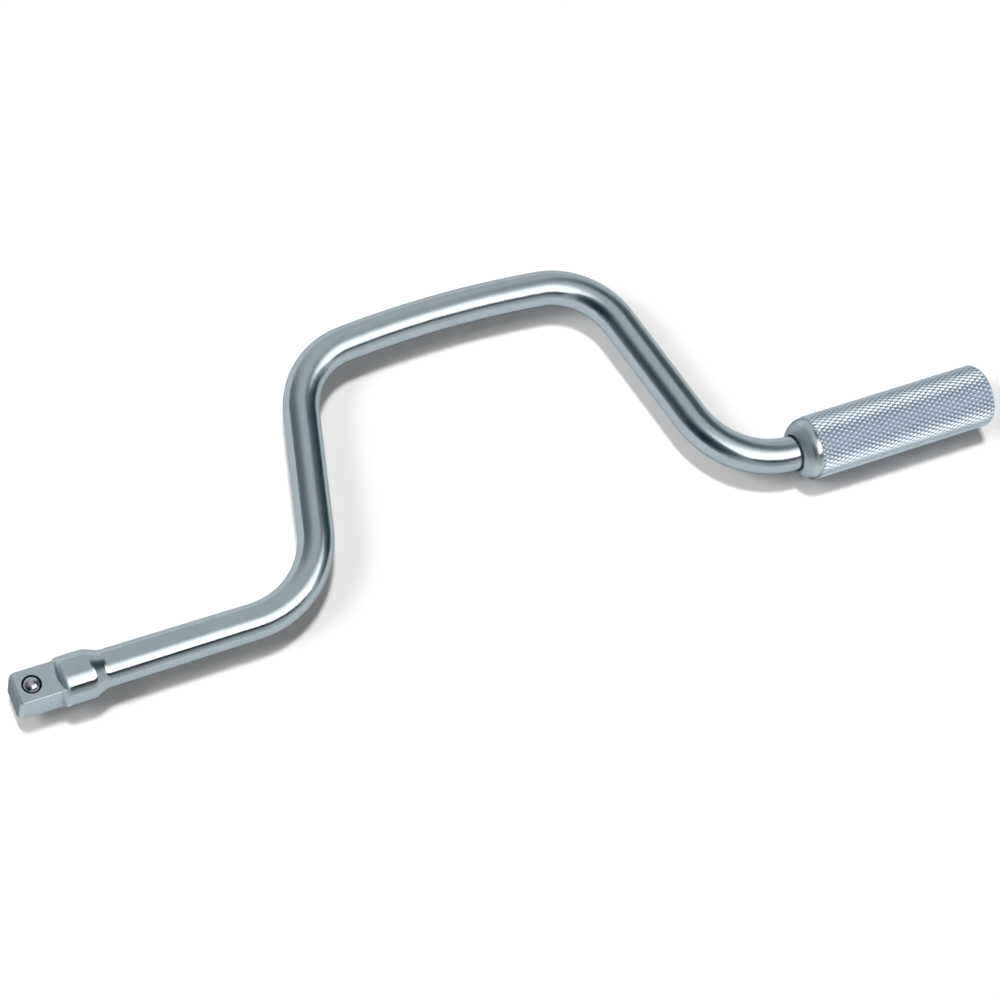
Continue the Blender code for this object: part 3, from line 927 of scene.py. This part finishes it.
# %% The whole knurl tree
def knurl_tree():
    numbers = ["Start", "End", "Root radius", "Depth", "Crown", "Ramp"]
    counts = ["Rows", "Teeth round"]
    inputs = {label: 'NodeSocketFloat' for label in numbers}
    inputs |= {label: 'NodeSocketInt' for label in counts}
    inputs["Finish"] = 'NodeSocketMaterial'
    tree, given, result = geometry_tree("diamond knurl", inputs)
    points, row_step, tooth_step = knurl_points(tree, given)
    half_tooth = calc(tree, 'MULTIPLY', tooth_step, HALF)
    size = add(tree, 'ShaderNodeCombineXYZ', {"X": row_step, "Y": half_tooth, "Z": given["Depth"]})
    teeth = add(tree, 'GeometryNodeInstanceOnPoints', {
        "Points": points,
        "Instance": knurl_tooth(tree, given),
        "Scale": size.outputs["Vector"],
    })
    sheet = add(tree, 'GeometryNodeRealizeInstances', {"Geometry": teeth.outputs["Instances"]})
    both = tree.nodes.new('GeometryNodeJoinGeometry')
    tree.links.new(rolled_sheet(tree, given, sheet.outputs["Geometry"]), both.inputs["Geometry"])
    tree.links.new(given["Geometry"], both.inputs["Geometry"])
    feeds = {"Geometry": both.outputs["Geometry"], "Distance": MERGE}
    whole = add(tree, 'GeometryNodeMergeByDistance', feeds).outputs["Geometry"]
    real = add(tree, 'GeometryNodeRealizeInstances', {"Geometry": whole}).outputs["Geometry"]
    feeds = {"Geometry": real, "Material": given["Finish"]}
    feed(tree, result, add(tree, 'GeometryNodeSetMaterial', feeds).outputs["Geometry"])
    return tree


# %% [markdown]
# The shell's profile starts and ends at the knurl's roots. The nose follows a superellipse, because one
# number then sets its shape: a curve of 1 would make it a cone, and 2 the end of a ball.

# %% The sleeve's shell
NOSE_STEPS = 24
RIM_STEPS = 4
RIM_ROUND = 0.5 * MM
RIM_RUN = 0.3 * MM
RIM_DROP = 0.2 * MM
RIM_TAPER = 0.6 * MM


def nose_outline():
    """The rounded nose from the rim of the opening back to its full diameter."""
    power = 2 / NOSE_CURVE
    points = []
    for step in range(NOSE_STEPS + 1):
        angle = pi / 2 * step / NOSE_STEPS
        along = NOSE_LENGTH * (1 - cos(angle) ** power)
        radius = NOSE_RIM_R + (grip_r - NOSE_DROP - NOSE_RIM_R) * sin(angle) ** power
        points.append(Vector((nose + along, radius)))
    return points


def sleeve_shell():
    """The sleeve without its knurl: an open profile from one end of the band to the other."""
    rim_r = grip_r - RIM_DROP
    rim = rounded([
        (knurl_end, root_r, 0),
        (knurl_end + RIM_RUN, rim_r, RIM_ROUND),
        (grip_end, rim_r - RIM_TAPER, RIM_ROUND),
        (grip_end, BORE_R, 0),
    ], steps=RIM_STEPS)
    seat = nose + NOSE_LIP
    inside = [Vector(point) for point in ((seat, BORE_R), (seat, NOSE_HOLE_R), (nose, NOSE_HOLE_R))]
    groove = [Vector((knurl_start, root_r))]
    profile = rim + inside + nose_outline() + groove
    return turned("knurled_grip", profile, steps=2 * KNURL_TEETH, closed=False)


# %% Roll the knurl onto the shell
KNURL_EDGE = radians(50)
grip = sleeve_shell()
run_tree(grip, knurl_tree(), {
    "Start": knurl_start,
    "End": knurl_end,
    "Root radius": root_r,
    "Depth": KNURL_DEPTH,
    "Crown": KNURL_CROWN,
    "Ramp": KNURL_RAMP,
    "Rows": KNURL_ROWS,
    "Teeth round": KNURL_TEETH,
    "Finish": knurl_plate,
})
grip.data.shade_smooth()
grip.data.set_sharp_from_angle(angle=KNURL_EDGE)
hand_over(grip, "grip_sleeve")
print("knurl pitch along the grip", round((knurl_end - knurl_start) / (KNURL_ROWS - 1) * 2 / MM, 2), "mm")

# %% [markdown]
# ## Inside the grip
# The grip turns on two bushes of sintered bronze, which hold oil in their pores, and a plug closes its
# far end. A ground washer and a blackened ring keep the grip on the bar. They are plain turned rings,
# so one function draws their section from the frame's box and each gets its own finish.

# %% Turn the bushes and the washer
SOFT_EDGE = 0.4 * MM
WASHER_EDGE = 0.2 * MM
RING_STEPS = 3
RUN_GAP = 0.3 * MM
PORE_FULL = 0.16
PORE_CLEAR = 0.26


def plain_ring(name, node, inner_r, edge):
    """A ring with rounded edges that fills the node's box."""
    low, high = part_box(node)
    corners = [
        (high.x, inner_r, edge),
        (high.x, high.z, edge),
        (low.x, high.z, edge),
        (low.x, inner_r, edge),
    ]
    return true_edges(turned(name, rounded(corners, steps=RING_STEPS, closed=True)))


def add_pores(material, size, dark):
    """Dark specks where a sintered surface is open."""
    tree = material.node_tree
    feeds = {"Vector": object_place(tree), "Scale": per(size)}
    cells = add(tree, 'ShaderNodeTexVoronoi', feeds).outputs["Distance"]
    paint_over(material, eased(tree, cells, PORE_FULL, PORE_CLEAR, 1.0, 0.0), dark)


bronze = metal("oiled_sintered_bronze", light=(0.44, 0.30, 0.15), dark=(0.36, 0.24, 0.12),
               smooth=0.32, dull=0.46, grain=0.3 * MM, grain_depth=0.01 * MM,
               wave=2 * MM, wave_depth=0.01 * MM)
add_pores(bronze, size=0.5 * MM, dark=(0.10, 0.06, 0.03))
ground_steel = metal("ground_washer_steel", light=(0.46, 0.46, 0.47), dark=(0.40, 0.40, 0.42),
                     smooth=0.26, dull=0.36, grain=0.4 * MM, grain_depth=0.002 * MM,
                     wave=3 * MM, wave_depth=0.004 * MM)
lathe_marks(ground_steel, size=0.2 * MM, depth=0.003 * MM)
front_bush = plain_ring("bronze_front_bush", "front_bush", ROD_R + RUN_GAP, SOFT_EDGE)
hand_over(front_bush, "front_bush", bronze)
rear_bush = plain_ring("bronze_rear_bush", "rear_bush", JOURNAL_R + RUN_GAP, SOFT_EDGE)
hand_over(rear_bush, "rear_bush", bronze)
washer = plain_ring("ground_thrust_washer", "thrust_washer", JOURNAL_R + RUN_GAP, WASHER_EDGE)
hand_over(washer, "thrust_washer", ground_steel)

# %% Turn the end plug
PLUG_EDGE = 0.6 * MM
PLUG_STEPS = 4
plug_plate = metal("turned_plug_plate", PLATE_LIGHT, PLATE_DARK, smooth=0.18, dull=0.27,
                   grain=0.5 * MM, grain_depth=0.004 * MM, wave=4 * MM, wave_depth=0.01 * MM)
lathe_marks(plug_plate, size=0.3 * MM, depth=0.008 * MM)
plug_low, plug_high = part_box("end_plug")
section = rounded([
    (plug_high.x, 0, 0),
    (plug_high.x, plug_high.z, PLUG_EDGE),
    (plug_low.x, plug_high.z, PLUG_EDGE),
    (plug_low.x, 0, 0),
], steps=PLUG_STEPS)
plug = true_edges(turned("turned_end_plug", section, closed=False))
hand_over(plug, "end_plug", plug_plate)

# %% [markdown]
# The retaining ring is stamped from flat spring steel, and the frame's own solid is already that shape. It
# keeps its mesh and only gets a finish: black oxide, which is thin and wears bright in places.

# %% Blacken the retaining ring
black_oxide = metal("black_oxide", light=(0.075, 0.075, 0.085), dark=(0.035, 0.035, 0.04),
                    smooth=0.35, dull=0.55, grain=0.3 * MM, grain_depth=0.003 * MM,
                    wave=2 * MM, wave_depth=0.005 * MM)
ring = frame["nodes"]["retaining_ring"]
ring.data.materials.clear()
ring.data.materials.append(black_oxide)
print("ring finish:", ring.data.materials[0].name)

# %% [markdown]
# ## The detent spring
# Behind the ball sits a small coil spring. It is the sweep again, along a helix that stands on the hole's
# floor.

# %% Wind the spring
WIRE_R = 0.3 * MM
WIRE_SIDES = 12
COIL_R = 3.25 * MM
COIL_LOW = -3.45 * MM
COIL_TOP = 1.919 * MM
COIL_TURNS = 4.5
COIL_STEPS = 28

spring_wire = metal("drawn_spring_wire", light=(0.34, 0.34, 0.36), dark=(0.27, 0.27, 0.29),
                    smooth=0.28, dull=0.42, grain=0.2 * MM, grain_depth=0.003 * MM,
                    wave=1 * MM, wave_depth=0.004 * MM)
upright = Vector((0, 0, 1)).rotation_difference(flat_normal)
steps = floor(COIL_TURNS * COIL_STEPS)
coil = []
for step in range(steps + 1):
    turning = 2 * pi * COIL_TURNS * step / steps
    height = COIL_LOW + (COIL_TOP - COIL_LOW) * step / steps
    spot = Vector((COIL_R * cos(turning), COIL_R * sin(turning), height))
    coil.append((Vector((ball_centre.x, 0, 0)) + upright @ spot, WIRE_R))
spring = swept("detent_coil", coil, WIRE_SIDES, spring_wire)
spring.data.shade_smooth()
hand_over(spring, "detent_spring")
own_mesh(spring)

# %% [markdown]
# ## The studio
# Polished metal shows its surroundings, so the surroundings are designed like a set. The floor is
# white paper. Its paint adds a little light of its own for camera, glossy and transmission rays,
# which lifts it to white in the picture and in reflections, and it still takes the shadow.

# %% Lay the floor
FLOOR_SIZE = 6.0
FLOOR_WHITE = (0.88, 0.88, 0.88)
FLOOR_DULL = 0.9
FLOOR_LIFT = 0.05


def paper():
    material = bpy.data.materials.new("white_paper")
    material.use_nodes = True
    tree = material.node_tree
    skin = tree.nodes["Principled BSDF"]
    skin.inputs["Base Color"].default_value = (*FLOOR_WHITE, 1)
    skin.inputs["Roughness"].default_value = FLOOR_DULL
    skin.inputs["Specular IOR Level"].default_value = 0.0
    skin.inputs["Emission Color"].default_value = (1, 1, 1, 1)
    rays = tree.nodes.new('ShaderNodeLightPath').outputs
    shown = calc(tree, 'MAXIMUM', rays["Is Camera Ray"], rays["Is Glossy Ray"])
    shown = calc(tree, 'MAXIMUM', shown, rays["Is Transmission Ray"])
    feed(tree, skin.inputs["Emission Strength"], calc(tree, 'MULTIPLY', shown, FLOOR_LIFT))
    return material


cage = bmesh.new()
bmesh.ops.create_grid(cage, x_segments=1, y_segments=1, size=FLOOR_SIZE)
bmesh.ops.translate(cage, vec=(0, 0, floor_height), verts=cage.verts)
paper_floor = new_piece("paper_floor", cage)
paper_floor.data.materials.append(paper())
print("floor at", round(floor_height / MM, 2), "mm")

# %% [markdown]
# The handle lies in a tent of grey cloth, and black flags hang outside it. A flag shows in the metal as
# a dark stripe, which is what makes a round bar look round. The world's colour is worked out from the
# direction alone: each flag is a soft round patch with a heading, a tilt from straight up, a reach
# and a depth, and the cloth grows pale towards the horizon. Diffuse rays see a plain warm fill instead,
# so the flags never reach the paper.

# %% Hang the tent and its flags
TENT_GREY = (0.82, 0.82, 0.82)
FLAG_BLACK = (0.010, 0.042, 0.058)
HORIZON_PALE = (0.85, 0.85, 0.85)
PALE_FROM = 0.18
PALE_TO = -0.30
PAPER_FILL = (0.13, 0.116, 0.112)
# Each flag's azimuth, tilt and reach in degrees, and the share of the light that it takes away
FLAGS = [
    (213, 56.5, 43.6, 0.99),
    (1, 81, 35.8, 0.97),
    (22, 50, 30.3, 0.86),
    (158, 74, 61.7, 0.72),
    (272, 67, 22, 0.38),
]


def heading(azimuth, tilt):
    """The direction with this azimuth from +X and this tilt from straight up, in degrees."""
    turn = radians(azimuth)
    lean = radians(tilt)
    return Vector((sin(lean) * cos(turn), sin(lean) * sin(turn), cos(lean)))


def hang_tent():
    world = bpy.data.worlds.new("grey_tent")
    bpy.context.scene.world = world
    world.use_nodes = True
    tree = world.node_tree
    way = tree.nodes.new('ShaderNodeTexCoord').outputs["Generated"]
    cloth = 1.0
    for azimuth, tilt, reach, depth in FLAGS:
        towards = vector(tree, 'DOT_PRODUCT', way, heading(azimuth, tilt))
        left = eased(tree, towards, cos(radians(reach)), 1.0, 1.0, 1.0 - depth)
        cloth = calc(tree, 'MULTIPLY', cloth, left)
    colour = blend_colours(tree, cloth, FLAG_BLACK, TENT_GREY)
    pale = eased(tree, vector(tree, 'DOT_PRODUCT', way, (0, 0, 1)), PALE_FROM, PALE_TO)
    colour = blend_colours(tree, pale, colour, HORIZON_PALE)
    diffuse = tree.nodes.new('ShaderNodeLightPath').outputs["Is Diffuse Ray"]
    feed(tree, tree.nodes["Background"].inputs["Color"], blend_colours(tree, diffuse, colour, PAPER_FILL))


hang_tent()
print("tent with", len(FLAGS), "flags")

# %% [markdown]
# A softbox over the drive end gives the long white stripe. It is a glowing sheet that only reflections
# see: full white along its lower edge, thinning out to clear towards its top, with a black skirt hung
# below. The thinning makes one side of the stripe melt away, and the skirt draws the dark line along the
# other.

# %% Hang the softbox
SOFTBOX_AIM = Vector((191.1, 30, 0)) * MM
SOFTBOX_AZIMUTH = -50.3
SOFTBOX_TILT = 30.8
SOFTBOX_DISTANCE = 1.565
SOFTBOX_ROLL = radians(16.3)
SOFTBOX_HALF = 0.914
SOFTBOX_LOW = -0.61
SOFTBOX_FADE = 0.07
SOFTBOX_TOP = 0.97
SOFTBOX_LIGHT = 2.85
SOFTBOX_WARM = (1.0, 0.93, 0.90)
SKIRT_LENGTH = 1.1


def glowing_cloth():
    material = bpy.data.materials.new("softbox_cloth")
    material.use_nodes = True
    tree = material.node_tree
    tree.nodes.remove(tree.nodes["Principled BSDF"])
    place = tree.nodes.new('ShaderNodeTexCoord').outputs["Object"]
    height = add(tree, 'ShaderNodeSeparateXYZ', {"Vector": place}).outputs["Y"]
    lit = calc(tree, 'MULTIPLY', calc(tree, 'GREATER_THAN', height, SOFTBOX_LOW), SOFTBOX_LIGHT)
    glow = add(tree, 'ShaderNodeEmission', {"Color": (*SOFTBOX_WARM, 1), "Strength": lit})
    clear = tree.nodes.new('ShaderNodeBsdfTransparent')
    top = eased(tree, height, SOFTBOX_FADE, SOFTBOX_TOP, 1.0, 0.0)
    foot = eased(tree, height, SOFTBOX_LOW - SKIRT_LENGTH, SOFTBOX_LOW, 0.0, 1.0)
    mix = add(tree, 'ShaderNodeMixShader', {"Fac": calc(tree, 'MULTIPLY', top, foot)})
    feed(tree, mix.inputs[1], clear.outputs[0])
    feed(tree, mix.inputs[2], glow.outputs[0])
    feed(tree, tree.nodes["Material Output"].inputs["Surface"], mix.outputs[0])
    return material


def facing_matrix(way):
    """Axes of a sheet or lamp that hangs in this direction and faces back, with X square to Y."""
    first = Vector((0, 1, 0)).cross(way).normalized()
    return Matrix((first, way.cross(first), way)).transposed()


def sheet(name, low, high):
    """A flat sheet in the XY plane between two corners."""
    cage = bmesh.new()
    corners = ((low[0], low[1]), (high[0], low[1]), (high[0], high[1]), (low[0], high[1]))
    cage.faces.new([cage.verts.new((x, y, 0)) for x, y in corners])
    return new_piece(name, cage)


box_way = heading(SOFTBOX_AZIMUTH, SOFTBOX_TILT)
softbox = sheet("softbox", (-SOFTBOX_HALF, SOFTBOX_LOW - SKIRT_LENGTH), (SOFTBOX_HALF, SOFTBOX_TOP))
box_axes = facing_matrix(box_way) @ Matrix.Rotation(SOFTBOX_ROLL, 3, 'Z')
softbox.matrix_world = Matrix.Translation(SOFTBOX_AIM + SOFTBOX_DISTANCE * box_way) @ box_axes.to_4x4()
softbox.data.materials.append(glowing_cloth())
softbox.visible_camera = False
softbox.visible_diffuse = False
softbox.visible_shadow = False
print("softbox at", [round(value, 2) for value in softbox.location])

# %% [markdown]
# Two soft suns light the paper. One shines along the handle from the drive end, so the legs of the bow
# lay a wide soft shadow while the shank and the grip hide theirs. The other comes from high behind the
# bow and draws a dark edge under every piece. Reflections see neither, so stripes and shadows can be set
# apart.

# %% Set the suns
# Each sun's name, azimuth and tilt in degrees, strength, and spread in degrees
SUNS = [
    ("end_sun", 168, 50, 1.7, 26),
    ("bow_sun", 104, 16, 2.3, 8),
]


def hang_sun(name, azimuth, tilt, strength, spread_angle):
    way = heading(azimuth, tilt)
    sun = bpy.data.objects.new(name, bpy.data.lights.new(name, 'SUN'))
    sun.matrix_world = Matrix.Translation(way) @ facing_matrix(way).to_4x4()
    bpy.context.scene.collection.objects.link(sun)
    sun.data.energy = strength
    sun.data.angle = radians(spread_angle)
    sun.visible_glossy = False
    print(name, "from", [round(value, 2) for value in way])


for lamp in SUNS:
    hang_sun(*lamp)
bpy.context.scene.view_settings.view_transform = 'Standard'
